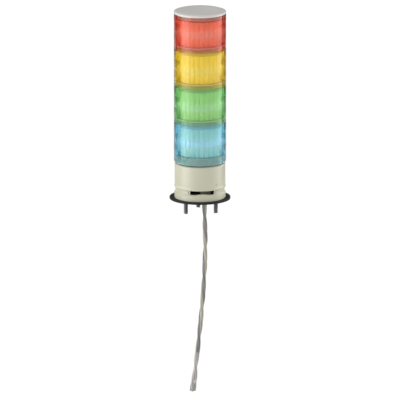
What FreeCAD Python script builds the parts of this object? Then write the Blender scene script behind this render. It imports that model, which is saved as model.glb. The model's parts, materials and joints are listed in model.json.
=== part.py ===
import FreeCAD, Part
import math
import os

# Stack light: a pre-wired signal tower with four coloured tiers on an ivory body, a mounting
# base on a rubber gasket, three studs and one cable out of the middle of the base.
#
# Lengths are millimetres and angles degrees. z = 0 is the mounting face, the underside of the
# gasket, on the column's axis. +Z is up and the front, with the slot, faces -Y.

Vector = FreeCAD.Vector

# ---- Driving dimensions ----

FRONT = -90.0               # direction of the front, about Z
CLEARANCE = 0.2             # between moulded parts that slip into each other
SCREW_FIT = 0.05            # round a screw, stud or cable in its hole
FACETS = 26                 # flutes round a globe, and sides of the keyed joints
LENS_FACETS = 16            # sides of an inner lens, its sockets and the sounder
COLUMN_R = 30.0             # globes and cap

# Gasket and mounting base
GASKET_R = 35.0
GASKET_T = 2.0
FLANGE_INSET = 0.6          # flange, neck and body are this much slimmer than the column
FLANGE_H = 7.4
FLANGE_SLOPE = 1.3          # height of the sloped shoulder between flange and neck
NECK_INSET = 1.7
NECK_H = 5.1
BASE_WALL = 2.6             # neck wall
BASE_FLOOR = 3.0
SLOT_W = 27.6
SLOT_H = 4.9
SLOT_SILL_W = 15.0          # the raised middle of the slot's lower edge
SLOT_SILL_H = 0.9
LUG_ANGLE = 38.0            # each side of the front
LUG_SPAN = 9.0
LUG_PROUD = 0.8
LUG_H = 3.4
HOOK_COUNT = 3              # twist-lock hooks that reach up into the body
HOOK_W = 14.0
HOOK_H = 5.0
HOOK_T = 2.2

# Mounting studs
STUD_COUNT = 3
STUD_INSET = 5.7            # from the bore of the base to a stud's axis
STUD_R = 2.5
STUD_REACH = 16.0           # below the mounting face
STUD_TIP = 0.5              # chamfer
STUD_COLLAR_FLATS = 6.0     # hexagonal collar that keys a stud in the base and the gasket
STUD_HEAD_FLATS = 8.0
STUD_HEAD_H = 2.8

# Cable, its bush and its locking fork
CABLE_R = 2.6
CABLE_X = 5.0               # off the axis, where it leaves the base
CABLE_TOP = 15.0            # inner end of the sheath
CABLE_ROUTE = [
    (CABLE_X, 0.0, CABLE_TOP),
    (CABLE_X, 0.0, -16.0),
    (6.9, -0.2, -62.0),
    (0.8, 2.8, -147.5),
    (-7.9, 6.4, -230.5),
]
BUSH_FACETS = 12
BUSH_NECK_R = 5.6
BUSH_LIP_R = 7.4
BUSH_LIP_T = 1.5
FORK_LENGTH = 12.0          # locking fork pushed across the cable, between two grooved ribs
FORK_T = 2.0
FORK_GRIP = 0.5             # the fork's mouth is this much narrower than the cable
FORK_Z = 9.5
RIB_T = 2.4
RIB_GROOVE = 1.0            # depth of the groove in each rib
RIB_OVER = 2.0              # rib above the fork
CORES_R = 1.9               # the stripped cores, in one bundle

# Body
BODY_INSET = 0.4
BODY_H = 28.0
BODY_WALL = 2.2              # at the rim
RIM_PROUD = 0.35             # the lower rim stands this far out from the wall above it
RIM_H = 1.6
RIM_SLOPE = 1.3
SHOULDER_EDGE = 1.1
SHOULDER_T = 2.5
COLLAR_H = 10.2             # keyed collar that carries the lowest globe
COLLAR_WALL = 2.25
PARTITION_T = 3.0
MARK_ANGLE = 37.0           # alignment mark, to the right of the front
MARK_Z = 20.6
MARK_SIDE = 2.6
MARK_PROUD = 0.35
CLIP_ANGLES = [30.0, 150.0, 210.0, 330.0]   # notched ribs that the driver board snaps into
CLIP_W = 5.0
CLIP_OVER = 1.2             # over the board's edge
CLIP_GRIP = 0.9             # under the board's edge
CLIP_LIP = 2.0
SEAL_T = 1.0

# Globes
GLOBE_WALL = 3.6            # to the bottom of the flutes
FLUTE_DEPTH = 0.8
SKIRT_WALL = 2.05           # where a globe laps over the one below
SPIGOT_H = 4.5
TIER_H = 43.0
LOWEST_EXTRA = 4.1          # the lowest globe also covers the top of the body
TOP_SHORT = 1.4             # the cap takes this much of the highest tier
CORNER_IN = 1.7             # bevelled lower corner of the lowest globe
CORNER_H = 2.8

# Inner lenses and light barriers
LENS_GAP = 2.6              # from a globe's flutes
LENS_WALL = 1.6
BELT_PROUD = 1.2
BELT_H = 9.4
BELT_SLOPE = 1.4
BELT_ABOVE_FLOOR = 20.3     # belt's middle, above the foot of its tier
LENS_SOCKET = 3.7           # how far a lens goes into a barrier
BARRIER_WEB = 1.5
BARRIER_LIP = 1.5

# Cap
CAP_RIM_H = 2.0
CAP_EDGE_IN = 3.0
CAP_EDGE_H = 1.0
CAP_PLATE = 2.0
CAP_SEAL_T = 0.8

# Tie screws
TIE_R = 1.5
TIE_BOSS_W = 6.4
TIE_BOSS_GAP = 0.9          # between a boss and the highest lens
TIE_BOSS_H = 6.0
TIE_THREAD = 4.5            # length of screw in the cap's boss
TIE_HEAD_FLATS = 5.5
TIE_HEAD_H = 2.4

# Boards and what is on them
BOARD_T = 1.6
DRIVER_FACETS = 12
DRIVER_GAP = 2.4            # from the driver board's corners to the body's wall
DRIVER_Z = 27.5             # underside
LAMP_EDGE_GAP = 1.1         # from the lamp board to a tie screw
LAMP_TONGUE_W = 20.0
LAMP_TOP_GAP = 0.5          # below the cap's bosses
SOCKET_END = 3.0            # walls of the socket, past the ends of the tongue and beside it
SOCKET_SIDE = 2.2
SOCKET_H = 7.0
SOCKET_DEPTH = 4.5          # of the lamp board's tongue in it
TERMINAL_W = 12.0
TERMINAL_D = 6.0
TERMINAL_H = 7.0
SOUNDER_H = 8.5
SOUNDER_GAP = 0.5           # from the terminal block, and from the board's edge
CAPACITOR_R = 5.0
CAPACITOR_H = 9.0
CAPACITOR_PLACE = (-8.5, 11.5)
CHIP_H = 1.6
CHIP_PLACES = [(-8.0, -9.0, 7.0, 5.0), (4.0, -9.5, 5.0, 4.0), (11.5, -8.5, 4.0, 6.0)]
LED_W = 5.0
LED_T = 1.6
LED_COLUMN_X = 5.5
LED_ROW_Z = 4.0

# ---- Levels and radii worked out from them ----

BASE_Z = GASKET_T
BASE_FLOOR_TOP = BASE_Z + BASE_FLOOR
FLANGE_TOP = BASE_Z + FLANGE_H
BODY_Z = FLANGE_TOP + NECK_H
FLANGE_R = COLUMN_R - FLANGE_INSET
NECK_R = COLUMN_R - NECK_INSET
BASE_BORE_R = NECK_R - BASE_WALL
STUD_CIRCLE_R = BASE_BORE_R - STUD_INSET
STUD_ANGLE = -FRONT         # one stud at the back
FORK_W = 2 * (BUSH_LIP_R + CLEARANCE + RIB_GROOVE)

SHOULDER_Z = BODY_Z + BODY_H
BODY_R = COLUMN_R - BODY_INSET
BODY_WALL_R = BODY_R - RIM_PROUD
BODY_BORE_R = BODY_R - BODY_WALL
HOOK_R = BODY_BORE_R - 2 * CLEARANCE
COLLAR_TOP = SHOULDER_Z + COLLAR_H
GLOBE_Z = SHOULDER_Z + SEAL_T
LOWEST_FOOT = GLOBE_Z + LOWEST_EXTRA

SKIRT_R = COLUMN_R - SKIRT_WALL
SPIGOT_R = SKIRT_R - CLEARANCE
FLUTE_R = COLUMN_R - GLOBE_WALL
BARRIER_R = FLUTE_R - FLUTE_DEPTH - CLEARANCE
LENS_R = FLUTE_R - FLUTE_DEPTH - LENS_GAP
SOCKET_R = LENS_R + CLEARANCE
SKIRT_H = SPIGOT_H + BARRIER_LIP

PARTITION_TOP = LOWEST_FOOT + BARRIER_WEB / 2
PARTITION_Z = PARTITION_TOP - PARTITION_T
CAVITY_R = SPIGOT_R - COLLAR_WALL

COLOURS = ["blue", "green", "amber", "red"]     # from the lowest tier up
TIER_FEET = [LOWEST_FOOT + i * TIER_H for i in range(len(COLOURS))]
GRID_TOP = TIER_FEET[-1] + TIER_H
CAP_Z = GRID_TOP - TOP_SHORT
CAP_TOP = CAP_Z + CAP_RIM_H + CAP_EDGE_H
CAP_CEILING = CAP_TOP - CAP_PLATE
TIE_BOSS_Z = CAP_CEILING - TIE_BOSS_H

DRIVER_R = BODY_BORE_R - DRIVER_GAP
DRIVER_TOP = DRIVER_Z + BOARD_T
SOCKET_TOP = DRIVER_TOP + SOCKET_H
CLIP_TOP = SHOULDER_Z - SHOULDER_T
CLIP_IN = DRIVER_GAP + CLIP_OVER
SOUNDER_R = (DRIVER_R - TERMINAL_D / 2) / 2 - SOUNDER_GAP
SOUNDER_Y = SOUNDER_R + SOUNDER_GAP - DRIVER_R

TIE_X = LENS_R - LENS_WALL - TIE_BOSS_W / 2 - TIE_BOSS_GAP
TIE_WINDOW = 2 * (TIE_R + CLEARANCE)
LAMP_BOARD_W = 2 * (TIE_X - TIE_R - LAMP_EDGE_GAP)


# ---- Shapes used all over ----

def around(radius, angle):
    """The x and y of a point at a radius and an angle about Z."""
    turn = math.radians(angle)
    return radius * math.cos(turn), radius * math.sin(turn)


def ring_of(radius, count, first_angle):
    """Places equally spaced round a circle."""
    return [around(radius, first_angle + i * 360.0 / count) for i in range(count)]


def revolved(outline, start=0.0, span=360.0):
    """An (r, z) outline swept about Z over a span of degrees from a start angle."""
    points = [Vector(r, 0, z) for r, z in outline]
    shape = Part.Face(Part.makePolygon(points + points[:1]))
    solid = shape.revolve(Vector(0, 0, 0), Vector(0, 0, 1), span)
    solid.rotate(Vector(0, 0, 0), Vector(0, 0, 1), start)
    return solid


def cylinder(radius, bottom, top, place=(0.0, 0.0)):
    return Part.makeCylinder(radius, top - bottom, Vector(place[0], place[1], bottom))


def block(width, depth, bottom, top, place=(0.0, 0.0)):
    """A box centred on a place in x and y."""
    corner = Vector(place[0] - width / 2, place[1] - depth / 2, bottom)
    return Part.makeBox(width, depth, top - bottom, corner)


def loop(radii, z):
    """A closed polygon with corners at equal angles from the front, at the given radii in turn."""
    step = 360.0 / len(radii)
    corners = [Vector(*around(r, FRONT + i * step), z) for i, r in enumerate(radii)]
    return Part.makePolygon(corners + corners[:1])


def faceted(radius, bottom, top, sides=FACETS, place=(0.0, 0.0)):
    """An upright prism with flat sides, as the mouldings are keyed to one another."""
    solid = Part.Face(loop([radius] * sides, bottom)).extrude(Vector(0, 0, top - bottom))
    solid.translate(Vector(place[0], place[1], 0))
    return solid


def fluted(bottom, top):
    """The space inside a globe: a prism with FACETS V-shaped flutes."""
    radii = [FLUTE_R, FLUTE_R - FLUTE_DEPTH] * FACETS
    return Part.Face(loop(radii, bottom)).extrude(Vector(0, 0, top - bottom))


def hexagon(flats, bottom, top, place):
    return faceted(flats / 2 / math.cos(math.radians(30)), bottom, top, 6, place)


def group(solids):
    return Part.makeCompound(solids)


# ---- Mounting base ----

STUD_PLACES = ring_of(STUD_CIRCLE_R, STUD_COUNT, STUD_ANGLE)
CABLE_PLACE = (CABLE_X, 0.0)


def gasket():
    """Flat rubber disc with holes for the studs and the bush."""
    disc = cylinder(GASKET_R, 0, GASKET_T)
    holes = [hexagon(STUD_COLLAR_FLATS + 2 * CLEARANCE, 0, GASKET_T, p) for p in STUD_PLACES]
    holes.append(faceted(BUSH_LIP_R + CLEARANCE, 0, GASKET_T, BUSH_FACETS, CABLE_PLACE))
    return disc.cut(holes)


def slot_cutter():
    """The sound outlet in the neck, open upwards to the body, with a raised sill in its middle."""
    top, foot = BODY_Z, BODY_Z - SLOT_H
    half, sill = SLOT_W / 2, SLOT_SILL_W / 2
    y = -NECK_R - LUG_PROUD
    sill_arc = Part.Arc(Vector(-sill, y, foot), Vector(0, y, foot + SLOT_SILL_H), Vector(sill, y, foot))
    corners = [(sill, foot), (half, foot), (half, top), (-half, top), (-half, foot), (-sill, foot)]
    edges = [sill_arc.toShape()]
    for (x0, z0), (x1, z1) in zip(corners, corners[1:]):
        edges.append(Part.makeLine(Vector(x0, y, z0), Vector(x1, y, z1)))
    return Part.Face(Part.Wire(edges)).extrude(Vector(0, NECK_R / 2, 0))


def mounting_base():
    """Moulded flange and neck, open at the top, with hooks that the body turns on to."""
    base = revolved([
        (0, BASE_Z), (FLANGE_R, BASE_Z), (FLANGE_R, FLANGE_TOP - FLANGE_SLOPE),
        (NECK_R, FLANGE_TOP), (NECK_R, BODY_Z), (0, BODY_Z),
    ])
    base = base.cut([faceted(BASE_BORE_R, BASE_FLOOR_TOP, BODY_Z), slot_cutter()])
    lug_mid = (FLANGE_TOP + BODY_Z) / 2
    lug = [
        (BASE_BORE_R, lug_mid - LUG_H / 2), (NECK_R + LUG_PROUD, lug_mid - LUG_H / 2),
        (NECK_R + LUG_PROUD, lug_mid + LUG_H / 2), (BASE_BORE_R, lug_mid + LUG_H / 2),
    ]
    added = [revolved(lug, FRONT + side * LUG_ANGLE - LUG_SPAN / 2, LUG_SPAN) for side in (-1, 1)]
    hook_x = math.sqrt(HOOK_R ** 2 - (HOOK_W / 2) ** 2) - HOOK_T / 2
    for i in range(HOOK_COUNT):
        hook = block(HOOK_T, HOOK_W, BODY_Z - NECK_H / 2, BODY_Z + HOOK_H, (hook_x, 0))
        hook.rotate(Vector(0, 0, 0), Vector(0, 0, 1), STUD_ANGLE + i * 360.0 / HOOK_COUNT)
        added.append(hook)
    rib_y = (FORK_W + RIB_T) / 2 - RIB_GROOVE
    for side in (-1, 1):
        added.append(block(FORK_LENGTH, RIB_T, BASE_FLOOR_TOP - BASE_FLOOR / 2, FORK_Z + FORK_T + RIB_OVER,
                           (CABLE_X, side * rib_y)))
    collar_hole = STUD_COLLAR_FLATS + 2 * SCREW_FIT
    holes = [hexagon(collar_hole, BASE_Z, BASE_FLOOR_TOP, p) for p in STUD_PLACES]
    holes.append(faceted(BUSH_NECK_R + SCREW_FIT, BASE_Z, BASE_FLOOR_TOP, BUSH_FACETS, CABLE_PLACE))
    holes.append(block(FORK_LENGTH, FORK_W + SCREW_FIT, FORK_Z, FORK_Z + FORK_T, CABLE_PLACE))
    return base.fuse(added).cut(holes).removeSplitter()


def mounting_studs():
    """Studs with a hexagonal head and collar, which are keyed in the base's floor."""
    studs = []
    for place in STUD_PLACES:
        head = hexagon(STUD_HEAD_FLATS, BASE_FLOOR_TOP, BASE_FLOOR_TOP + STUD_HEAD_H, place)
        collar = hexagon(STUD_COLLAR_FLATS, 0, BASE_FLOOR_TOP + STUD_HEAD_H / 2, place)
        shank = revolved([
            (0, -STUD_REACH), (STUD_R - STUD_TIP, -STUD_REACH), (STUD_R, STUD_TIP - STUD_REACH),
            (STUD_R, BASE_Z), (0, BASE_Z),
        ])
        shank.translate(Vector(place[0], place[1], 0))
        studs.append(head.fuse([collar, shank]).removeSplitter())
    return group(studs)


# ---- Cable ----

def rounded_route(points):
    """Straight runs joined by tangent arcs, each as large as its two runs allow. Returns the wire
    and its radii."""
    points = [Vector(*p) for p in points]
    edges, radii = [], []
    start = points[0]
    for before, corner, after in zip(points, points[1:], points[2:]):
        back, ahead = before - corner, after - corner
        run = min(back.Length, ahead.Length)
        turn = math.pi - back.getAngle(ahead)
        reach = 0.45 * run
        radius = reach / math.tan(turn / 2)
        back.normalize()
        ahead.normalize()
        bisector = back + ahead
        bisector.normalize()
        centre = corner + bisector * (radius / math.cos(turn / 2))
        enter, leave = corner + back * reach, corner + ahead * reach
        edges.append(Part.LineSegment(start, enter).toShape())
        edges.append(Part.Arc(enter, centre - bisector * radius, leave).toShape())
        radii.append(radius)
        start = leave
    edges.append(Part.LineSegment(start, points[-1]).toShape())
    return Part.Wire(edges), radii


def cable():
    """The grey sheath, from the clamp inside the base to its free end."""
    route, radii = rounded_route(CABLE_ROUTE)
    direction = Vector(*CABLE_ROUTE[1]) - Vector(*CABLE_ROUTE[0])
    section = Part.Wire(Part.makeCircle(CABLE_R, Vector(*CABLE_ROUTE[0]), direction))
    tube = route.makePipeShell([section], True, False)
    expected = math.pi * CABLE_R ** 2 * route.Length
    print("cable length %.1f, arc radii %s, volume over section times length %.5f" % (
        route.Length, ["%.0f" % r for r in radii], tube.Volume / expected))
    return tube


def supply_cores():
    """The cable's stripped cores in one bundle, from the end of the sheath to the terminal block."""
    return faceted(CORES_R, CABLE_TOP, DRIVER_Z - TERMINAL_H, 6, CABLE_PLACE)


def cable_bush():
    """Rubber bush snapped into the base's floor, with a lip on each side."""
    foot, top = BASE_Z - BUSH_LIP_T, BASE_FLOOR_TOP + BUSH_LIP_T
    lips = [
        faceted(BUSH_LIP_R, foot, BASE_Z, BUSH_FACETS, CABLE_PLACE),
        faceted(BUSH_LIP_R, BASE_FLOOR_TOP, top, BUSH_FACETS, CABLE_PLACE),
    ]
    bush = faceted(BUSH_NECK_R, foot, top, BUSH_FACETS, CABLE_PLACE).fuse(lips)
    return bush.cut(cylinder(CABLE_R + SCREW_FIT, foot, top, CABLE_PLACE)).removeSplitter()


def cable_fork():
    """Locking fork that is pushed across the cable and bites into its sheath."""
    fork = block(FORK_LENGTH, FORK_W, FORK_Z, FORK_Z + FORK_T, CABLE_PLACE)
    mouth_r = CABLE_R + SCREW_FIT
    mouth = [
        cylinder(mouth_r, FORK_Z, FORK_Z + FORK_T, CABLE_PLACE),
        block(FORK_LENGTH, 2 * (mouth_r - FORK_GRIP), FORK_Z, FORK_Z + FORK_T, (CABLE_X + FORK_LENGTH / 2, 0)),
    ]
    return fork.cut(mouth)


# ---- Body ----

TIE_PLACES = [(-TIE_X, 0.0), (TIE_X, 0.0)]


def alignment_mark():
    """Small raised diamond that shows how the body turns on to the base."""
    mark = block(MARK_SIDE, MARK_SIDE, BODY_R - BODY_WALL / 2, BODY_WALL_R + MARK_PROUD)
    mark.rotate(Vector(0, 0, 0), Vector(0, 0, 1), 45)
    mark.rotate(Vector(0, 0, 0), Vector(0, 1, 0), 90)
    mark.translate(Vector(0, 0, MARK_Z))
    mark.rotate(Vector(0, 0, 0), Vector(0, 0, 1), FRONT + MARK_ANGLE)
    return mark


def body():
    """Ivory housing, open below, with a proud rim, a keyed collar and a partition under the lowest tier."""
    outside = revolved([
        (0, BODY_Z), (BODY_R, BODY_Z), (BODY_R, BODY_Z + RIM_H), (BODY_WALL_R, BODY_Z + RIM_H + RIM_SLOPE),
        (BODY_WALL_R, SHOULDER_Z - SHOULDER_EDGE), (BODY_WALL_R - SHOULDER_EDGE, SHOULDER_Z), (0, SHOULDER_Z),
    ])
    outside = outside.fuse([faceted(SPIGOT_R, SHOULDER_Z - SHOULDER_T / 2, COLLAR_TOP), alignment_mark()])
    hollow = [
        faceted(BODY_BORE_R, BODY_Z, CLIP_TOP),
        faceted(CAVITY_R, CLIP_TOP, PARTITION_Z),
        faceted(SOCKET_R, PARTITION_TOP, COLLAR_TOP, LENS_FACETS),
    ]
    clips = []
    for angle in CLIP_ANGLES:
        middle = BODY_BORE_R + (BODY_WALL / 2 - CLIP_IN) / 2
        rib = block(CLIP_IN + BODY_WALL / 2, CLIP_W, DRIVER_Z - CLIP_LIP, CLIP_TOP + SHOULDER_T / 2, (middle, 0))
        under = block(CLIP_IN, CLIP_W, DRIVER_Z - CLIP_LIP, DRIVER_Z, (DRIVER_R - CLIP_GRIP - CLIP_IN / 2, 0))
        rib = rib.cut(under)
        rib.rotate(Vector(0, 0, 0), Vector(0, 0, 1), angle)
        clips.append(rib)
    holes = [block(TIE_WINDOW, TIE_WINDOW, PARTITION_Z, PARTITION_TOP, p) for p in TIE_PLACES]
    holes.append(faceted(DRIVER_R + SCREW_FIT, DRIVER_Z, DRIVER_TOP, DRIVER_FACETS))
    holes.append(block(LAMP_TONGUE_W + 2 * CLEARANCE, BOARD_T + 2 * CLEARANCE, PARTITION_Z, PARTITION_TOP))
    return outside.cut(hollow).fuse(clips).cut(holes).removeSplitter()


def body_seal():
    """Flat ring squeezed between the body's shoulder and the lowest globe."""
    outer, inner = COLUMN_R - CORNER_IN, SPIGOT_R + CLEARANCE / 2
    return faceted(outer, SHOULDER_Z, GLOBE_Z).cut(faceted(inner, SHOULDER_Z, GLOBE_Z))


# ---- Driver board ----

def driver_board():
    """Board whose corners snap into the body's notched ribs."""
    return faceted(DRIVER_R, DRIVER_Z, DRIVER_TOP, DRIVER_FACETS)


def terminal_block():
    return block(TERMINAL_W, TERMINAL_D, DRIVER_Z - TERMINAL_H, DRIVER_Z, CABLE_PLACE)


def sounder():
    """Drum under the driver board, above the slot."""
    return faceted(SOUNDER_R, DRIVER_Z - SOUNDER_H, DRIVER_Z, LENS_FACETS, (0.0, SOUNDER_Y))


def lamp_socket():
    """Socket on the driver board that the lamp board's tongue plugs into."""
    slot_w, slot_d = LAMP_TONGUE_W + 2 * SCREW_FIT, BOARD_T + 2 * SCREW_FIT
    outside = block(slot_w + 2 * SOCKET_END, slot_d + 2 * SOCKET_SIDE, DRIVER_TOP, SOCKET_TOP)
    return outside.cut(block(slot_w, slot_d, SOCKET_TOP - SOCKET_DEPTH, SOCKET_TOP))


def capacitor():
    return cylinder(CAPACITOR_R, DRIVER_TOP, DRIVER_TOP + CAPACITOR_H, CAPACITOR_PLACE)


def chips():
    return group([
        block(width, depth, DRIVER_TOP, DRIVER_TOP + CHIP_H, (x, y)) for x, y, width, depth in CHIP_PLACES
    ])


# ---- Lamp column ----

def lamp_board():
    """Long board up the middle. Its shoulders rest on the partition and its tongue is plugged in."""
    strip = block(LAMP_BOARD_W, BOARD_T, PARTITION_TOP, TIE_BOSS_Z - LAMP_TOP_GAP)
    tongue = block(LAMP_TONGUE_W, BOARD_T, SOCKET_TOP - SOCKET_DEPTH, PARTITION_TOP)
    return strip.fuse(tongue).removeSplitter()


def leds(foot):
    """Eight LEDs of one tier, four on each face of the lamp board, level with the lens's belt."""
    middle = foot + BELT_ABOVE_FLOOR
    packages = []
    for side in (-1, 1):
        y = side * (BOARD_T + LED_T) / 2
        for x in (-LED_COLUMN_X, LED_COLUMN_X):
            for z in (middle - LED_ROW_Z, middle + LED_ROW_Z):
                packages.append(block(LED_W, LED_T, z - LED_W / 2, z + LED_W / 2, (x, y)))
    return group(packages)


def inner_lens(foot):
    """Ribbed sleeve round one tier's LEDs, with a raised belt level with them."""
    bottom, top = foot + BARRIER_WEB / 2, foot + TIER_H - BARRIER_WEB / 2
    middle = foot + BELT_ABOVE_FLOOR
    belt_r = LENS_R + BELT_PROUD
    outline = [
        (LENS_R, bottom), (LENS_R, middle - BELT_H / 2), (belt_r, middle - BELT_H / 2 + BELT_SLOPE),
        (belt_r, middle + BELT_H / 2 - BELT_SLOPE), (LENS_R, middle + BELT_H / 2), (LENS_R, top),
    ]
    solid = Part.makeLoft([loop([r] * LENS_FACETS, z) for r, z in outline], True, True)
    return solid.cut(faceted(LENS_R - LENS_WALL, bottom, top, LENS_FACETS))


def light_barrier(foot):
    """Grey divider under one tier. It rests on the spigot of the globe below and holds the ends of
    both lenses."""
    lip = foot + SPIGOT_H
    low = foot - BARRIER_WEB / 2 - LENS_SOCKET
    web_z, web_top = foot - BARRIER_WEB / 2, foot + BARRIER_WEB / 2
    hub = faceted(BARRIER_R, low, lip + BARRIER_LIP, LENS_FACETS)
    hub = hub.fuse(faceted(SPIGOT_R, lip, lip + BARRIER_LIP))
    cuts = [
        faceted(SOCKET_R, low, web_z, LENS_FACETS),
        faceted(SOCKET_R, web_top, lip + BARRIER_LIP, LENS_FACETS),
        block(LAMP_BOARD_W + 2 * CLEARANCE, BOARD_T + 2 * CLEARANCE, web_z, web_top),
    ]
    cuts += [block(TIE_WINDOW, TIE_WINDOW, web_z, web_top, p) for p in TIE_PLACES]
    return hub.cut(cuts).removeSplitter()


def stacked_globe(bottom, top, skirt_h):
    """A globe whose skirt laps over the joint below and whose keyed spigot enters the globe above."""
    wall = cylinder(COLUMN_R, bottom, top).fuse(faceted(SPIGOT_R, top - SPIGOT_H, top + SPIGOT_H))
    return wall.cut([faceted(SKIRT_R, bottom, bottom + skirt_h), fluted(bottom + skirt_h, top + SPIGOT_H)])


def lowest_globe():
    """The lowest globe, with a longer skirt over the body's collar and a bevelled lower corner."""
    corner = [(COLUMN_R - CORNER_IN, GLOBE_Z), (COLUMN_R, GLOBE_Z), (COLUMN_R, GLOBE_Z + CORNER_H)]
    return stacked_globe(GLOBE_Z, TIER_FEET[1], COLLAR_TOP - GLOBE_Z).cut(revolved(corner))


def highest_globe():
    """The highest globe, with a keyed bore for the cap in place of a spigot."""
    foot = TIER_FEET[-1]
    cap_bore = CAP_Z - SPIGOT_H - CAP_SEAL_T
    return cylinder(COLUMN_R, foot, CAP_Z).cut([
        faceted(SKIRT_R, foot, foot + SKIRT_H),
        fluted(foot + SKIRT_H, cap_bore),
        faceted(SKIRT_R, cap_bore, CAP_Z),
    ])


# ---- Cap and tie screws ----

def cap_seal():
    """Keyed ring on the ledge in the highest globe, under the cap's spigot."""
    bottom, top = CAP_Z - SPIGOT_H - CAP_SEAL_T, CAP_Z - SPIGOT_H
    return faceted(SPIGOT_R, bottom, top).cut(faceted(FLUTE_R + CLEARANCE, bottom, top))


def top_cap():
    """Pale grey cap with a bevelled edge, a keyed spigot and two bosses for the tie screws."""
    lid = revolved([
        (0, CAP_Z), (COLUMN_R, CAP_Z), (COLUMN_R, CAP_Z + CAP_RIM_H),
        (COLUMN_R - CAP_EDGE_IN, CAP_TOP), (0, CAP_TOP),
    ])
    lid = lid.fuse(faceted(SPIGOT_R, CAP_Z - SPIGOT_H, CAP_Z + CAP_RIM_H / 2))
    lid = lid.cut(faceted(SOCKET_R, CAP_Z - SPIGOT_H, CAP_CEILING, LENS_FACETS))
    lid = lid.fuse([
        block(TIE_BOSS_W, TIE_BOSS_W, TIE_BOSS_Z, CAP_CEILING + CAP_PLATE / 2, p) for p in TIE_PLACES
    ])
    pocket = 2 * (TIE_R + SCREW_FIT)
    pockets = [block(pocket, pocket, TIE_BOSS_Z, TIE_BOSS_Z + TIE_THREAD, p) for p in TIE_PLACES]
    return lid.cut(pockets).removeSplitter()


def tie_screws():
    """Two long screws that clamp the column, from under the partition up into the cap's bosses."""
    screws = []
    for place in TIE_PLACES:
        head = hexagon(TIE_HEAD_FLATS, PARTITION_Z - TIE_HEAD_H, PARTITION_Z, place)
        screws.append(head.fuse(cylinder(TIE_R, PARTITION_Z - TIE_HEAD_H / 2, TIE_BOSS_Z + TIE_THREAD, place)))
    return group(screws)


# ---- The nodes ----

NODES = {
    "gasket": gasket(),
    "mounting_base": mounting_base(),
    "mounting_studs": mounting_studs(),
    "cable": cable(),
    "supply_cores": supply_cores(),
    "cable_bush": cable_bush(),
    "cable_fork": cable_fork(),
    "body": body(),
    "body_seal": body_seal(),
    "driver_board": driver_board(),
    "terminal_block": terminal_block(),
    "sounder": sounder(),
    "lamp_socket": lamp_socket(),
    "capacitor": capacitor(),
    "chips": chips(),
    "lamp_board": lamp_board(),
    "globe_blue": lowest_globe(),
    "globe_red": highest_globe(),
    "cap_seal": cap_seal(),
    "top_cap": top_cap(),
    "tie_screws": tie_screws(),
}
for colour, foot in zip(COLOURS, TIER_FEET):
    NODES["leds_" + colour] = leds(foot)
    NODES["inner_lens_" + colour] = inner_lens(foot)
for colour, foot in list(zip(COLOURS, TIER_FEET))[1:]:
    NODES["light_barrier_" + colour] = light_barrier(foot)
for colour, foot in list(zip(COLOURS, TIER_FEET))[1:-1]:
    NODES["globe_" + colour] = stacked_globe(foot, foot + TIER_H, SKIRT_H)

os.makedirs("parts", exist_ok=True)
for name, shape in NODES.items():
    shape.exportStep(os.path.join("parts", name + ".step"))
print("%d nodes" % len(NODES))
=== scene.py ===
"""The looks of a stack light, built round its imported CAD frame.

Sizes are in metres. MM turns a size in millimetres into metres. z = 0 is the underside of the
gasket, on the column's axis, +Z is up and the front faces -Y.
"""

import json
import math

import bmesh
import bpy
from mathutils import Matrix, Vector


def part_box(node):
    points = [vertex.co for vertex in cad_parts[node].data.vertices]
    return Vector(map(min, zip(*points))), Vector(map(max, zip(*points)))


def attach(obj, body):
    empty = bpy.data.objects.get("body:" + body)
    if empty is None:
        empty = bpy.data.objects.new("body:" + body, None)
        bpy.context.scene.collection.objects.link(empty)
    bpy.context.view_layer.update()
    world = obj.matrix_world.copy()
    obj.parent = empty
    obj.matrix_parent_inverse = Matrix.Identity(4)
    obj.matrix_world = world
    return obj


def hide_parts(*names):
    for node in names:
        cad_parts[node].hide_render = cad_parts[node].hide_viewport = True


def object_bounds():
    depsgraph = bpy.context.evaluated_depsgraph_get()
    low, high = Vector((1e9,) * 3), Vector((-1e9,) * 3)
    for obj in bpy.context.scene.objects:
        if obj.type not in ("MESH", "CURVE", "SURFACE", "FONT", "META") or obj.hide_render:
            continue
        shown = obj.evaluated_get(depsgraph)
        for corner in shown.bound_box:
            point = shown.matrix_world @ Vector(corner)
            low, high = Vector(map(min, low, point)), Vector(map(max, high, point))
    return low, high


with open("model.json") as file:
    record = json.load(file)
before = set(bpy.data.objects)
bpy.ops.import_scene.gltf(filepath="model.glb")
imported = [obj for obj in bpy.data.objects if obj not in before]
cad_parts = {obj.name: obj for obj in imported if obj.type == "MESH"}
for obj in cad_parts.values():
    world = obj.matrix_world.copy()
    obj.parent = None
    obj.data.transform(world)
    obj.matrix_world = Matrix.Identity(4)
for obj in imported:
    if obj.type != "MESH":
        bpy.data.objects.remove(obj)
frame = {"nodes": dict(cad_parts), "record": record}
CAD_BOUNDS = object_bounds()

MM = 0.001
TOUCH = 0.02 * MM               # a corner is picked by a place this near to it
MERGE = TOUCH / 10              # two vertices nearer than this are one
FRONT = math.radians(-90)
COLOURS = ["blue", "green", "amber", "red"]


# ---- Sizes, from the frame where a node's box gives them ----

COLUMN_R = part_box("top_cap")[1].x
FACETS = 26                     # round the keyed joints; as many flutes in a globe and ribs on a lens
SKIRT_R = COLUMN_R - 2.05 * MM
SPIGOT_R = SKIRT_R - 0.2 * MM
FLUTE_R = COLUMN_R - 3.6 * MM
FLUTE_DEPTH = 0.06 * MM
SPIGOT_H = 4.5 * MM
SKIRT_H = 6.0 * MM
COLLAR_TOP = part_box("body")[1].z
TIER_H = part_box("inner_lens_green")[0].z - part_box("inner_lens_blue")[0].z
GLOBE_EDGE = 0.35 * MM
LOWEST_CORNER = 2.6 * MM

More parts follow.
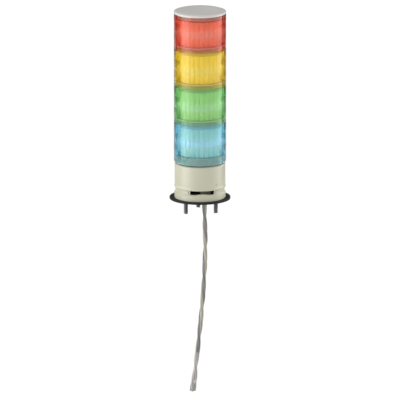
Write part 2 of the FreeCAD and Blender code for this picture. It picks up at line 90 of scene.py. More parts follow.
LENS_R = 23.0 * MM
LENS_WALL = 1.6 * MM
GROOVE = 1.5 * MM               # between the lens's ribs
BELT_PROUD = 0.5 * MM
BELT_MIDDLE = 19.55 * MM        # above the lens's lower end
BELT_H = 9.4 * MM
BELT_SLOPE = 1.4 * MM
BELT_SOFT = 0.5 * MM
RECESS = 1.0 * MM               # in the globe's wall, all round, level with the lens's belt
RECESS_H = 22.0 * MM
RECESS_FLAT = 4.4 * MM
RECESS_SOFT = 2.5 * MM

CAP_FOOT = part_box("globe_red")[1].z
CAP_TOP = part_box("top_cap")[1].z
CAP_RIM_H = 2.0 * MM
CAP_SLOPE = 3.0 * MM
CAP_PLATE = 2.0 * MM
CAP_EDGE = 0.5 * MM

BODY_R = COLUMN_R - 0.4 * MM
BODY_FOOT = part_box("body")[0].z
BODY_WALL = 2.2 * MM
RIM_PROUD = 0.35 * MM
RIM_H = 1.6 * MM
RIM_SLOPE = 1.3 * MM
SHOULDER_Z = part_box("body_seal")[0].z
SHOULDER_EDGE = 1.1 * MM
SHOULDER_T = 2.5 * MM
PARTITION_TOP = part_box("inner_lens_blue")[0].z
PARTITION_T = 3.0 * MM
PARTITION_HOLE_R = 1.0 * MM
COLLAR_WALL = 2.25 * MM
SOCKET_R = LENS_R + 0.2 * MM
BODY_EDGE = 0.3 * MM
MARK_ANGLE = FRONT + math.radians(37)
MARK_Z = 20.6 * MM
MARK_R = 1.3 * MM
MARK_PROUD = 0.35 * MM
MARK_EDGE = 0.15 * MM

STUD_R = 2.5 * MM
STUD_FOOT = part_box("mounting_studs")[0].z
STUD_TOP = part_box("mounting_studs")[1].z
STUD_CIRCLE_R = 20.0 * MM
STUD_TIP = 0.5 * MM
STUD_TIP_SHARE = 0.8            # the tip's width, as a share of the shank's
STUD_COUNT = 3
PITCH = 0.8 * MM
THREAD_DEPTH = 0.4 * MM
COLLAR_FLATS = 6.0 * MM
HEAD_FLATS = 8.0 * MM
HEAD_H = 2.8 * MM
HEAD_EDGE = 0.3 * MM


# ---- Materials ----

NOISE_LOW = 0.3                 # most of a noise's values lie between these two
NOISE_HIGH = 0.7


class Value:
    """A number worked out by nodes. Arithmetic on it adds Math nodes."""

    def __init__(self, tree, socket):
        self.tree = tree
        self.socket = socket

    def math(self, operation, first, second):
        node = self.tree.add("Math", {"operation": operation}, {0: first, 1: second})
        return Value(self.tree, node.outputs[0])

    def __add__(self, other):
        return self.math("ADD", self, other)

    def __sub__(self, other):
        return self.math("SUBTRACT", self, other)

    def __rsub__(self, other):
        return self.math("SUBTRACT", other, self)

    def __mul__(self, other):
        return self.math("MULTIPLY", self, other)

    def __truediv__(self, other):
        return self.math("DIVIDE", self, other)

    def __rtruediv__(self, other):
        return self.math("DIVIDE", other, self)

    def __neg__(self):
        return self.math("MULTIPLY", self, -1.0)

    __radd__ = __add__
    __rmul__ = __mul__

    def repeated(self, period):
        """Goes up and down between 0 and half the period."""
        return self.math("PINGPONG", self, period / 2)

    def larger(self, other):
        return self.math("MAXIMUM", self, other)

    def bearing(self, ahead):
        """The bearing of a place that lies this far to the side and so far ahead."""
        return self.math("ARCTAN2", self, ahead)

    def eased(self, start, end, low=0.0, high=1.0):
        """Goes smoothly from low to high as this goes from start to end."""
        spans = {"From Min": start, "From Max": end, "To Min": low, "To Max": high}
        node = self.tree.add("MapRange", {"interpolation_type": "SMOOTHSTEP"}, {"Value": self, **spans})
        return Value(self.tree, node.outputs["Result"])

    def spread(self, low, high):
        """Goes smoothly from low to high over the middle of a noise's range."""
        return self.eased(NOISE_LOW, NOISE_HIGH, low, high)


class Tree:
    """The nodes of a material or world."""

    def __init__(self, owner):
        owner.use_nodes = True
        self.nodes = owner.node_tree.nodes
        self.links = owner.node_tree.links

    def add(self, kind, settings=(), inputs=()):
        """A node with its settings, such as a ramp's stops, and the values or links of its sockets."""
        node = self.nodes.new("ShaderNode" + kind)
        for name, value in dict(settings).items():
            if name == "stops":
                set_stops(node.color_ramp.elements, value)
            else:
                setattr(node, name, value)
        self.feed(node, inputs)
        return node

    def feed(self, node, inputs):
        for name, value in dict(inputs).items():
            source = value.socket if isinstance(value, Value) else value
            if isinstance(source, bpy.types.NodeSocket):
                self.links.new(source, node.inputs[name])
            else:
                node.inputs[name].default_value = source

    def place(self, kind="Object"):
        """The x, y and z of a point, or of a direction in the world."""
        point = self.add("TexCoord").outputs[kind]
        parts = self.add("SeparateXYZ", {}, {"Vector": point})
        return [Value(self, out) for out in parts.outputs]

    def noise(self, scale, detail=3.0, stretch=(1, 1, 1)):
        point = self.add("TexCoord").outputs["Object"]
        sized = self.add("Mapping", {}, {"Vector": point, "Scale": stretch}).outputs["Vector"]
        node = self.add("TexNoise", {}, {"Vector": sized, "Scale": scale, "Detail": detail})
        return Value(self, node.outputs["Fac"])

    def ramp(self, share, stops):
        return self.add("ValToRGB", {"stops": stops}, {"Fac": share}).outputs["Color"]

    def mix(self, share, first, second):
        return self.add("Mix", {"data_type": "RGBA"}, {0: share, 6: first, 7: second}).outputs[2]

    def bump(self, height, strength, distance):
        inputs = {"Height": height, "Strength": strength, "Distance": distance}
        return self.add("Bump", {}, inputs).outputs["Normal"]


def set_stops(elements, stops):
    while len(elements) < len(stops):
        elements.new(0.5)
    for element, (position, colour) in zip(elements, stops):
        element.position = position
        element.color = colour


def shades(colour, variation):
    """Ramp stops on either side of a colour, over the middle of a noise's range."""
    low = [c * (1 - variation) for c in colour]
    high = [min(1.0, c * (1 + variation)) for c in colour]
    return [(NOISE_LOW, (*low, 1)), (NOISE_HIGH, (*high, 1))]


def new_material(name):
    material = bpy.data.materials.new(name)
    tree = Tree(material)
    return material, tree, tree.nodes["Principled BSDF"]


def moulded(name, colour, roughness, variation=0.06, relief=0.12, gloss=0.5):
    """Moulded plastic: slight cloudiness, a fine eroded texture and uneven gloss."""
    material, tree, shader = new_material(name)
    cloud, grain = tree.noise(scale=40.0), tree.noise(scale=3000.0, detail=2.0)
    tree.feed(shader, {
        "Base Color": tree.ramp(cloud, shades(colour, variation)),
        "Roughness": cloud.spread(roughness * 0.85, roughness * 1.15),
        "Specular IOR Level": gloss,
        "Normal": tree.bump(grain, strength=relief, distance=0.05 * MM),
    })
    return material


def tinted(name, absorption):
    """Clear tinted plastic. absorption is for red, green and blue, per millimetre of the light's path."""
    material, tree, shader = new_material(name)
    flow = tree.noise(scale=60.0, detail=2.0, stretch=(1, 1, 0.25))
    tree.feed(shader, {
        "Base Color": (1, 1, 1, 1),
        "Transmission Weight": 1.0,
        "IOR": 1.4,
        "Roughness": flow.spread(0.06, 0.12),
        "Normal": tree.bump(flow, strength=0.05, distance=0.3 * MM),
    })
    kept = [1 - a / max(absorption) for a in absorption]
    volume = tree.add("VolumeAbsorption", {}, {"Color": (*kept, 1), "Density": max(absorption) / MM})
    tree.links.new(volume.outputs["Volume"], tree.nodes["Material Output"].inputs["Volume"])
    return material


def frosted(name, colour, belt_highlight_colour):
    """Milky plastic, with a painted highlight: its colour turns whiter round the belt of each tier."""
    material, tree, shader = new_material(name)
    cloud = tree.noise(scale=90.0)
    z = tree.place()[2]
    off_belt = (z - (PARTITION_TOP + BELT_MIDDLE)).repeated(TIER_H)
    # Painted highlight: a band of whiter colour at each tier's belt, placed by height.
    belt = off_belt.eased(BELT_H * 0.8, BELT_H * 0.15)
    tree.feed(shader, {
        "Base Color": tree.mix(belt, tree.ramp(cloud, shades(colour, variation=0.03)), (*belt_highlight_colour, 1)),
        "Roughness": cloud.spread(0.35, 0.45),
    })
    return material


def rubber(name, shade):
    """Dull rubber with a faint bloom."""
    material, tree, shader = new_material(name)
    bloom, grain = tree.noise(scale=220.0), tree.noise(scale=2500.0, detail=2.0)
    tree.feed(shader, {
        "Base Color": tree.ramp(bloom, shades((shade, shade, shade * 1.05), variation=0.3)),
        "Roughness": bloom.spread(0.55, 0.75),
        "Specular IOR Level": 0.2,
        "Normal": tree.bump(grain, strength=0.2, distance=0.08 * MM),
    })
    return material


def plated(name, colour, roughness):
    """Zinc-plated steel, drawn along Z, with a little tarnish."""
    material, tree, shader = new_material(name)
    drawn, tarnish = tree.noise(scale=900.0, stretch=(1, 1, 0.08)), tree.noise(scale=300.0)
    tree.feed(shader, {
        "Base Color": tree.ramp(tarnish, shades(colour, variation=0.2)),
        "Metallic": 1.0,
        "Roughness": drawn.spread(roughness * 0.8, roughness * 1.3),
        "Normal": tree.bump(drawn, strength=0.15, distance=0.02 * MM),
    })
    return material


MATERIALS = {
    "blue_globe": tinted("blue_globe", (0.16, 0.040, 0.012)),
    "green_globe": tinted("green_globe", (0.15, 0.035, 0.17)),
    "amber_globe": tinted("amber_globe", (0.0, 0.042, 0.37)),
    "red_globe": tinted("red_globe", (0.0, 0.24, 0.31)),
    # The clear lens's second colour is a painted highlight at the belts.
    "clear_lens": frosted("clear_lens", (0.96, 0.93, 0.75), (0.99, 0.99, 0.99)),
    "ivory_plastic": moulded("ivory_plastic", (0.41, 0.405, 0.305), 0.34, 0.02, relief=0.02, gloss=0.7),
    "grey_plastic": moulded("grey_plastic", (0.49, 0.48, 0.455), 0.38, 0.03, relief=0.05),
    "white_plastic": moulded("white_plastic", (0.82, 0.82, 0.80), 0.4),
    # The dividers are white plastic given a darker grey as painted shade, so that they look shadowed inside
    # the globes.
    "divider_plastic": moulded("divider_plastic", (0.65, 0.64, 0.60), 0.4),
    "black_plastic": moulded("black_plastic", (0.03, 0.03, 0.03), 0.4),
    "terminal_plastic": moulded("terminal_plastic", (0.05, 0.28, 0.12), 0.4),
    "core_insulation": moulded("core_insulation", (0.20, 0.20, 0.21), 0.4),
    "circuit_board": moulded("circuit_board", (0.03, 0.20, 0.08), 0.3, 0.2),
    "lamp_board": moulded("lamp_board", (0.80, 0.80, 0.78), 0.3),
    "led_package": moulded("led_package", (0.85, 0.78, 0.45), 0.2),
    "grey_sheath": moulded("grey_sheath", (0.19, 0.185, 0.185), 0.38, 0.08),
    "beige_lead": moulded("beige_lead", (0.34, 0.33, 0.25), 0.38, 0.08),
    "pale_lead": moulded("pale_lead", (0.39, 0.38, 0.355), 0.38, 0.08),
    "black_rubber": rubber("black_rubber", 0.01),
    "grey_rubber": rubber("grey_rubber", 0.10),
    "zinc_steel": plated("zinc_steel", (0.30, 0.30, 0.32), 0.34),
}


def slot_of(node):
    return next(part["material_slot"] for part in frame["record"]["subparts"] if part["node"] == node)


for node, cad_object in frame["nodes"].items():
    cad_object.data.materials.clear()
    cad_object.data.materials.append(MATERIALS[slot_of(node)])


# ---- Modelling, by hand in edit mode ----

SMOOTH_BELOW = math.radians(28)


def start(add, **sizes):
    """Starts a mesh from a primitive, in edit mode and all selected."""
    bpy.ops.object.select_all(action="DESELECT")
    add(**sizes)
    bpy.ops.object.mode_set(mode="EDIT")
    bpy.ops.mesh.select_mode(type="VERT")


def pick(wanted):
    """Selects what is wanted of the mesh that is being edited, by the places of its vertices."""
    bpy.ops.mesh.select_all(action="DESELECT")
    mesh = bmesh.from_edit_mesh(bpy.context.edit_object.data)
    for vertex in mesh.verts:
        vertex.select = wanted(vertex.co)
    mesh.select_flush(True)
    bmesh.update_edit_mesh(bpy.context.edit_object.data)


def reach(place):
    return math.hypot(place.x, place.y)


def at_corner(corners):
    """Wants what lies on the circles with these radii and heights."""
    return lambda place: any(abs(reach(place) - r) < TOUCH and abs(place.z - z) < TOUCH for r, z in corners)


def draw_out(corners, segments):
    """Starts from a circle and draws it out ring by ring through the (radius, z) corners."""
    start(bpy.ops.mesh.primitive_circle_add, vertices=segments, radius=corners[0][0], location=(0, 0, 0))
    bpy.ops.transform.translate(value=(0, 0, corners[0][1]))
    for (r, z), (next_r, next_z) in zip(corners, corners[1:]):
        bpy.ops.mesh.extrude_edges_move(TRANSFORM_OT_translate={"value": (0, 0, next_z - z)})
        bpy.ops.transform.resize(value=(next_r / r, next_r / r, 1), center_override=(0, 0, 0))


def join_ends():
    """Joins the first and the last ring into a closed wall."""
    bpy.ops.mesh.select_all(action="DESELECT")
    bpy.ops.mesh.select_non_manifold()
    bpy.ops.mesh.bridge_edge_loops()


def fill_ends():
    """Closes the first and the last ring with a flat face each."""
    bpy.ops.mesh.select_all(action="SELECT")
    bpy.ops.mesh.fill_holes(sides=0)


def on_lines(low, high, period, first):
    """Wants what lies between two radii on every period-th of the lines round the axis."""
    step = 2 * math.pi / (FACETS * period)

    def wanted(place):
        line = round((math.atan2(place.y, place.x) - FRONT) / step)
        return low < reach(place) < high and line % period == first

    return wanted


def press(low, high, shares):
    """Presses what lies between two radii in, by shares that repeat round the axis from the front."""
    for i, share in enumerate(shares):
        if share != 1:
            pick(on_lines(low, high, len(shares), i))
            bpy.ops.transform.resize(value=(share, share, 1), center_override=(0, 0, 0))


def facets(period):
    """Shares that make a circle a polygon with a corner at the front."""
    half = math.pi / FACETS
    return [math.cos(half) / math.cos(half - 2 * half * i / period) for i in range(period)]


def flutes(period):
    """Shares that press shallow flutes into a bore."""
    return [1 - FLUTE_DEPTH / FLUTE_R * math.sin(math.pi * i / period) ** 2 for i in range(period)]


def grooves(period):
    """Shares that leave broad ribs with narrow grooves between them."""
    return [1 - GROOVE / LENS_R * (1 - abs(math.cos(math.pi * i / period))) ** 2 for i in range(period)]


def soften(corners, width, segments=4):
    """Rounds the edges that run round the axis at these corners."""
    pick(at_corner(corners))
    bpy.ops.mesh.bevel(offset=width, segments=segments, affect="EDGES", clamp_overlap=True)


def shaped():
    """Ends the modelling in edit mode and returns the object."""
    bpy.ops.mesh.select_all(action="SELECT")
    bpy.ops.mesh.remove_doubles(threshold=MERGE)
    bpy.ops.mesh.normals_make_consistent(inside=False)
    bpy.ops.object.mode_set(mode="OBJECT")
    bpy.ops.object.shade_smooth_by_angle(angle=SMOOTH_BELOW)
    return bpy.context.object


def copied(original, rise):
    """A copy with its own mesh, so much higher."""
    bpy.ops.object.select_all(action="DESELECT")
    original.select_set(True)
    bpy.context.view_layer.objects.active = original
    bpy.ops.object.duplicate()
    bpy.ops.object.mode_set(mode="EDIT")
    bpy.ops.mesh.select_all(action="SELECT")
    bpy.ops.transform.translate(value=(0, 0, rise))
    bpy.ops.object.mode_set(mode="OBJECT")
    return bpy.context.object


def dress(made, name, node):
    """Names a piece, gives it the material of the CAD node that it stands for, attaches it to the root and
    hides that node.
    """
    made.name = name
    made.data.name = name
    made.data.materials.append(MATERIALS[slot_of(node)])
    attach(made, "root")
    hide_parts(node)


# ---- Globes and lenses ----

GLOBE_STEPS = 10                # segments of a flute, a facet or a rib
LENS_STEPS = 8
CORNER_STEPS = 6                # round a globe's lower corner


def globe(colour):
    """One tier's globe: a round shell with a fluted inside, a skirt below and a spigot above."""
    node = "globe_" + colour
    low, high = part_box(node)
    foot, skirt_top, corner = low.z, low.z + SKIRT_H, GLOBE_EDGE
    if colour == COLOURS[0]:
        skirt_top, corner = COLLAR_TOP, LOWEST_CORNER
    if colour == COLOURS[-1]:
        top, seat = high.z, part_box("cap_seal")[0].z
        upper = [(SKIRT_R, top), (SKIRT_R, seat), (FLUTE_R, seat)]
    else:
        top = high.z - SPIGOT_H
        upper = [(SPIGOT_R, top), (SPIGOT_R, high.z), (FLUTE_R, high.z)]
    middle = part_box("inner_lens_" + colour)[0].z + BELT_MIDDLE
    recess = [
        (FLUTE_R, middle + RECESS_H / 2),
        (FLUTE_R + RECESS, middle + RECESS_FLAT / 2),
        (FLUTE_R + RECESS, middle - RECESS_FLAT / 2),
        (FLUTE_R, middle - RECESS_H / 2),
    ]
    lower = [(FLUTE_R, skirt_top), (SKIRT_R, skirt_top), (SKIRT_R, foot)]
    draw_out([(COLUMN_R, foot), (COLUMN_R, top)] + upper + recess + lower, FACETS * GLOBE_STEPS)
    join_ends()
    soften(recess, RECESS_SOFT)
    soften([(COLUMN_R, foot)], corner, CORNER_STEPS)
    soften([(COLUMN_R, top)], GLOBE_EDGE)
    press(FLUTE_R - TOUCH, FLUTE_R + RECESS + TOUCH, flutes(GLOBE_STEPS))
    press(SPIGOT_R - TOUCH, SKIRT_R + TOUCH, facets(GLOBE_STEPS))
    return shaped()


def lens():
    """The lowest tier's ribbed inner lens with its belt."""
    bottom, top = (corner.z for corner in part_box("inner_lens_" + COLOURS[0]))
    middle = bottom + BELT_MIDDLE
    belt = [
        (LENS_R, middle - BELT_H / 2),
        (LENS_R + BELT_PROUD, middle - BELT_H / 2 + BELT_SLOPE),
        (LENS_R + BELT_PROUD, middle + BELT_H / 2 - BELT_SLOPE),
        (LENS_R, middle + BELT_H / 2),
    ]
    inside = [(LENS_R - LENS_WALL, top), (LENS_R - LENS_WALL, bottom)]
    draw_out([(LENS_R, bottom)] + belt + [(LENS_R, top)] + inside, FACETS * LENS_STEPS)
    join_ends()
    soften(belt, BELT_SOFT)
    press(LENS_R - TOUCH, LENS_R + BELT_PROUD + TOUCH, grooves(LENS_STEPS))
    return shaped()


def tiers():
    """Globes and lenses from the lowest tier up. The two middle globes are alike, and so are the lenses."""
    shells, sleeves = [], []
    for colour in COLOURS:
        shells.append(copied(shells[-1], TIER_H) if colour == "amber" else globe(colour))
        sleeves.append(copied(sleeves[-1], TIER_H) if sleeves else lens())
    for colour, shell, sleeve in zip(COLOURS, shells, sleeves):
        dress(shell, f"globe_{colour}_shell", f"globe_{colour}")
        dress(sleeve, f"inner_lens_{colour}_sleeve", f"inner_lens_{colour}")


tiers()


# ---- Body and cap ----

BODY_STEPS = 8


def body():
    """Ivory housing with a slightly proud lower rim and a keyed collar inside the lowest globe."""
    wall_r = BODY_R - RIM_PROUD
    bore_r, cavity_r = BODY_R - BODY_WALL, SPIGOT_R - COLLAR_WALL
    partition_foot, shelf = PARTITION_TOP - PARTITION_T, SHOULDER_Z - SHOULDER_T
    rim = [(BODY_R, BODY_FOOT), (BODY_R, BODY_FOOT + RIM_H), (wall_r, BODY_FOOT + RIM_H + RIM_SLOPE)]
    shoulder = [(wall_r, SHOULDER_Z - SHOULDER_EDGE), (wall_r - SHOULDER_EDGE, SHOULDER_Z)]
    collar = [(SPIGOT_R, SHOULDER_Z), (SPIGOT_R, COLLAR_TOP), (SOCKET_R, COLLAR_TOP)]
    partition = [
        (SOCKET_R, PARTITION_TOP),
        (PARTITION_HOLE_R, PARTITION_TOP),
        (PARTITION_HOLE_R, partition_foot),
        (cavity_r, partition_foot),
    ]
    inside = [(cavity_r, shelf), (bore_r, shelf), (bore_r, BODY_FOOT)]
    draw_out(rim + shoulder + collar + partition + inside, FACETS * BODY_STEPS)
    join_ends()
    soften(rim + shoulder, BODY_EDGE)
    press(SPIGOT_R - TOUCH, SPIGOT_R + TOUCH, facets(BODY_STEPS))
    add_mark(wall_r)
    dress(shaped(), "body_shell", "body")


def add_mark(wall_r):
    """A small raised diamond on the body's wall, which shows how the tiers line up."""
    bpy.ops.mesh.primitive_cylinder_add(
        vertices=4,
        radius=MARK_R,
        depth=2 * MARK_PROUD,
        rotation=(math.radians(90), 0, MARK_ANGLE - FRONT),
        location=(wall_r * math.cos(MARK_ANGLE), wall_r * math.sin(MARK_ANGLE), MARK_Z),
    )
    bpy.ops.mesh.bevel(offset=MARK_EDGE, segments=2, affect="EDGES")


def cap():
    """Cap with a softly bevelled edge and a keyed spigot."""
    under, spigot_foot = CAP_TOP - CAP_PLATE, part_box("cap_seal")[1].z
    socket = [(SOCKET_R, under), (SOCKET_R, spigot_foot)]
    spigot = [(SPIGOT_R, spigot_foot), (SPIGOT_R, CAP_FOOT)]
    edge = [(COLUMN_R, CAP_FOOT), (COLUMN_R, CAP_FOOT + CAP_RIM_H), (COLUMN_R - CAP_SLOPE, CAP_TOP)]
    draw_out(socket + spigot + edge, FACETS * BODY_STEPS)
    fill_ends()
    soften(edge[1:], CAP_EDGE)
    press(SPIGOT_R - TOUCH, SPIGOT_R + TOUCH, facets(BODY_STEPS))
    dress(shaped(), "cap_shell", "top_cap")


body()
cap()


# ---- Studs ----

THREAD_STEPS = 24               # to a turn


def thread():
    """The first stud's shank: a ridge wound up it, cut off flat at both ends and narrowed at the tip."""
    turns = math.ceil(-STUD_FOOT / PITCH) + 2
    start(bpy.ops.mesh.primitive_plane_add, size=PITCH, rotation=(math.radians(90), 0, 0))
    pick(lambda place: place.x < 0)
    bpy.ops.mesh.delete(type="VERT")
    bpy.ops.mesh.select_all(action="SELECT")
    bpy.ops.mesh.subdivide(number_cuts=1)
    pick(lambda place: abs(place.y) < TOUCH)
    bpy.ops.transform.translate(value=(THREAD_DEPTH, 0, 0))
    bpy.ops.mesh.select_all(action="SELECT")
    bpy.ops.transform.translate(value=(STUD_R - THREAD_DEPTH - PITCH / 2, 0, STUD_FOOT - PITCH))
    bpy.ops.object.mode_set(mode="OBJECT")
    bpy.ops.object.transform_apply(location=True, rotation=True)
    winding = bpy.context.object.modifiers.new("winding", "SCREW")
    winding.steps = winding.render_steps = THREAD_STEPS
    winding.screw_offset = PITCH
    winding.iterations = turns
    winding.use_merge_vertices = True
    winding.merge_threshold = MERGE
    bpy.ops.object.modifier_apply(modifier="winding")
    bpy.ops.object.mode_set(mode="EDIT")
    for height, direction in ((STUD_FOOT + STUD_TIP, -1), (TOUCH, 1)):
        bpy.ops.mesh.select_all(action="SELECT")
        cut_at, outwards = (0, 0, height), (0, 0, direction)
        bpy.ops.mesh.bisect(plane_co=cut_at, plane_no=outwards, use_fill=True, clear_outer=True)
    pick(lambda place: abs(place.z - STUD_FOOT - STUD_TIP) < TOUCH)
    bpy.ops.mesh.extrude_region_move(TRANSFORM_OT_translate={"value": (0, 0, -STUD_TIP)})
    bpy.ops.transform.resize(value=(STUD_TIP_SHARE, STUD_TIP_SHARE, 1), center_override=(0, 0, 0))
    bpy.ops.mesh.select_all(action="SELECT")
    bpy.ops.transform.translate(value=(0, STUD_CIRCLE_R, 0))


def add_hexagon(flats, bottom, top):
    bpy.ops.mesh.primitive_cylinder_add(
        vertices=6,
        radius=flats / 2 / math.cos(math.radians(30)),
        depth=top - bottom,
        location=(0, STUD_CIRCLE_R, (bottom + top) / 2),
    )
    bpy.ops.mesh.bevel(offset=HEAD_EDGE, segments=2, affect="EDGES")


def studs():
    """One threaded stud with its hexagonal collar and head, copied round the axis."""
    thread()
    add_hexagon(COLLAR_FLATS, 0, STUD_TOP - HEAD_H)
    add_hexagon(HEAD_FLATS, STUD_TOP - HEAD_H, STUD_TOP)
    bpy.ops.mesh.select_all(action="SELECT")
    copies = STUD_COUNT - 1
    sweep = 2 * math.pi * copies / STUD_COUNT
    bpy.ops.mesh.spin(steps=copies, dupli=True, angle=sweep, center=(0, 0, 0), axis=(0, 0, 1))
    dress(shaped(), "studs_threaded", "mounting_studs")


studs()


# ---- Cable ----

CABLE_ROUTE = [
    (5.0, 0.0, 15.0),
    (5.0, 0.0, -16.0),
    (6.9, -0.2, -62.0),
    (1.8, 2.6, -147.5),
    (-7.9, 6.4, -230.5),
]
LINE_STEPS = 50                 # points to each stretch of the route
LEAD_SIDES = 8
LEAD_R = 0.9 * MM
LEADS = [                       # place across and into the bundle in millimetres, and material
    (-1.65, -0.85, "beige_lead"),
    (-1.65, 0.85, "beige_lead"),
    (0.0, -0.85, "pale_lead"),
    (0.0, 0.85, "grey_sheath"),
    (1.65, -0.85, "grey_sheath"),
    (1.65, 0.85, "grey_sheath"),
]
LEAD_MATERIALS = ["grey_sheath", "beige_lead", "pale_lead"]
BROADSIDE_Z = -41.0 * MM        # a height where the bundle's broad side faces the front
HALF_TURN = 36.0 * MM
FAN = 0.6                       # how much wider the leads spread at the bare end
FAN_START = -185.0 * MM
DRIFT = 0.12                    # how far the leads stray in the bundle, in millimetres
DRIFT_LENGTH = 9.0 * MM


def cable_line():
    """The points of a smooth NURBS line along the route."""
    curve = bpy.data.curves.new("cable_line", "CURVE")
    curve.dimensions = "3D"
    curve.resolution_u = LINE_STEPS
    spline = curve.splines.new("NURBS")
    spline.points.add(len(CABLE_ROUTE) - 1)
    for point, place in zip(spline.points, CABLE_ROUTE):
        point.co = (*(c * MM for c in place), 1.0)
    spline.order_u = 3
    spline.use_endpoint_u = True
    guide = bpy.data.objects.new("cable_line", curve)
    mesh = bpy.data.meshes.new_from_object(guide)
    line = [vertex.co.copy() for vertex in mesh.vertices]
    bpy.data.objects.remove(guide)
    bpy.data.meshes.remove(mesh)
    return line


def lead_rings(mesh, line, across, deep):
    """One lead's rings of vertices. It turns about the line, drifts a little and fans out at the end."""
    rings = []
    for i, middle in enumerate(line):
        ahead = (line[min(i + 1, len(line) - 1)] - line[max(i - 1, 0)]).normalized()
        side = (Vector((1, 0, 0)) - ahead * ahead.x).normalized()
        depth = ahead.cross(side)
        turn = math.pi * (middle.z - BROADSIDE_Z) / HALF_TURN
        loose = 1 + FAN * max(0.0, (FAN_START - middle.z) / (FAN_START - line[-1].z)) ** 2
        drift = DRIFT * math.sin(middle.z / DRIFT_LENGTH + 2 * across)
        out, back = (across + drift) * loose * MM, (deep - drift) * loose * MM
        centre = middle + side * (out * math.cos(turn) - back * math.sin(turn))
        centre += depth * (out * math.sin(turn) + back * math.cos(turn))
        angles = [2 * math.pi * k / LEAD_SIDES for k in range(LEAD_SIDES)]
        spokes = [side * math.cos(w) + depth * math.sin(w) for w in angles]
        rings.append([mesh.verts.new(centre + spoke * LEAD_R) for spoke in spokes])
    return rings


def cable():
    """Insulated leads loosely twisted together, fanning out a little at the bare end."""
    line = cable_line()
    mesh = bmesh.new()
    for across, deep, slot in LEADS:
        rings = lead_rings(mesh, line, across, deep)
        faces = [mesh.faces.new(rings[0][::-1]), mesh.faces.new(rings[-1])]
        for ring, below in zip(rings, rings[1:]):
            for i in range(LEAD_SIDES):
                j = (i + 1) % LEAD_SIDES
                faces.append(mesh.faces.new((ring[i], ring[j], below[j], below[i])))
        for face in faces:
            pale = face.calc_center_median().z < FAN_START
            face.material_index = LEAD_MATERIALS.index("pale_lead" if pale else slot)
            face.smooth = len(face.verts) == 4
    bmesh.ops.recalc_face_normals(mesh, faces=mesh.faces)
    leads = bpy.data.objects.new("cable_leads", bpy.data.meshes.new("cable_leads"))
    bpy.context.scene.collection.objects.link(leads)
    mesh.to_mesh(leads.data)
    mesh.free()
    dress(leads, "cable_leads", "cable")
    for name in LEAD_MATERIALS[1:]:
        leads.data.materials.append(MATERIALS[name])
    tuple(line[0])


cable()


# ---- Camera, light and backdrop ----

VIEW_TURN = math.radians(-5.5)
VIEW_LIFT = math.radians(13.5)
VIEW_DISTANCE = 12.0
VIEW_WIDTH = 0.4603
VIEW_CENTRE_Z = -0.0025


def camera():
    """A far camera with a long lens, a little above the column and to its left."""
    data = bpy.data.cameras.new("camera")
    data.sensor_width = 36.0
    data.lens = data.sensor_width * VIEW_DISTANCE / VIEW_WIDTH
    data.clip_end = 2 * VIEW_DISTANCE
    view = bpy.data.objects.new("camera", data)
    bpy.context.scene.collection.objects.link(view)
    back = Vector((math.sin(VIEW_TURN), -math.cos(VIEW_TURN), 0)) * math.cos(VIEW_LIFT)
    back.z = math.sin(VIEW_LIFT)
    view.location = back * VIEW_DISTANCE + Vector((0, 0, VIEW_CENTRE_Z))
    view.rotation_euler = back.to_track_quat("Z", "Y").to_euler()
    bpy.context.scene.camera = view


# Brightness of the room at each bearing; 0 is the camera's side and -90 the left.
BELOW = [                       # below the horizon, seen mirrored in upright surfaces
    (-180, 0.10), (-145, 0.10), (-138, 0.05), (-99, 0.05), (-86, 3.7), (-64, 3.7), (-46, 1.9), (-30, 1.4),
    (60, 1.4), (84, 2.3), (92, 3.0), (102, 3.0), (108, 0.05), (138, 0.05), (145, 0.10), (180, 0.10),
]
ABOVE = [                       # soft panels on both sides
    (-180, 0.15), (-135, 0.15), (-122, 4.4), (-58, 4.4), (-40, 1.05),
    (55, 1.05), (80, 3.7), (128, 4.4), (138, 0.15), (180, 0.15),
]
OVERHEAD = 0.7
BRIGHTEST = 4.4
CLEAR_SHARE = 0.35              # how much of the white background shows through clear plastic
GLOSS_SHARE = 0.05              # and in reflections


def ring_of_light(tree, turn, levels):
    stops = [(degrees / 360 + 0.5, (level / BRIGHTEST,) * 3 + (1.0,)) for degrees, level in levels]
    return tree.ramp(turn, stops)


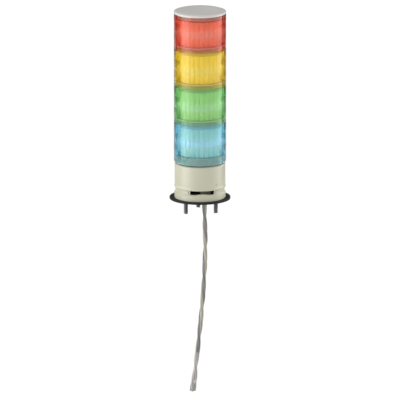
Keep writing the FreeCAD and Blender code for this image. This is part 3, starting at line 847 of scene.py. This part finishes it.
def studio():
    """A room with soft panels on both sides, which the camera sees as white."""
    world = bpy.data.worlds.new("studio")
    bpy.context.scene.world = world
    tree = Tree(world)
    tree.nodes.clear()
    x, y, z = tree.place("Generated")
    turn = x.bearing(-y) / (2 * math.pi) + 0.5
    walls = tree.mix(z.eased(-0.08, 0.02), ring_of_light(tree, turn, BELOW), ring_of_light(tree, turn, ABOVE))
    light = tree.mix(z.eased(0.35, 0.65), walls, (OVERHEAD / BRIGHTEST,) * 3 + (1.0,))
    room = tree.add("Background", {}, {"Color": light, "Strength": BRIGHTEST})
    white = tree.add("Background", {}, {"Color": (1, 1, 1, 1)})
    shown = tree.add("MixShader", {}, {0: seen_as_white(tree), 1: room.outputs[0], 2: white.outputs[0]})
    tree.add("OutputWorld", {}, {"Surface": shown.outputs[0]})


def seen_as_white(tree):
    """Whole for the camera, and in part for reflections and for what shows through clear plastic."""
    path = tree.add("LightPath").outputs
    camera_ray, glossy_ray = Value(tree, path["Is Camera Ray"]), Value(tree, path["Is Glossy Ray"])
    clear_ray = Value(tree, path["Is Transmission Ray"])
    return camera_ray + (clear_ray * CLEAR_SHARE).larger(glossy_ray * GLOSS_SHARE)


FLOOR_W = 2.6
FLOOR_NEAR = -0.8
FLOOR_FAR = 3.0
FLOOR_DROP = 0.12
FLOOR_GREY = (0.6, 0.6, 0.6)    # as it lights the object
FLOOR_WHITE = (0.98, 0.98, 0.98)


def floor():
    """A plain pale sheet, well below the end of the hanging cable, running back from the camera."""
    material, tree, shader = new_material("floor")
    tree.feed(shader, {
        "Base Color": tree.mix(seen_as_white(tree), (*FLOOR_GREY, 1), (*FLOOR_WHITE, 1)),
        "Roughness": 1.0,
        "Specular IOR Level": 0.0,
    })
    start(bpy.ops.mesh.primitive_plane_add, size=1)
    bpy.ops.transform.resize(value=(FLOOR_W, FLOOR_FAR - FLOOR_NEAR, 1), center_override=(0, 0, 0))
    bpy.ops.transform.translate(value=(0, (FLOOR_FAR + FLOOR_NEAR) / 2, CAD_BOUNDS[0][2] - FLOOR_DROP))
    bpy.ops.object.mode_set(mode="OBJECT")
    sheet = bpy.context.object
    sheet.name = "floor"
    sheet.data.materials.append(material)


camera()
studio()
floor()
bpy.context.scene.view_settings.view_transform = "Standard"
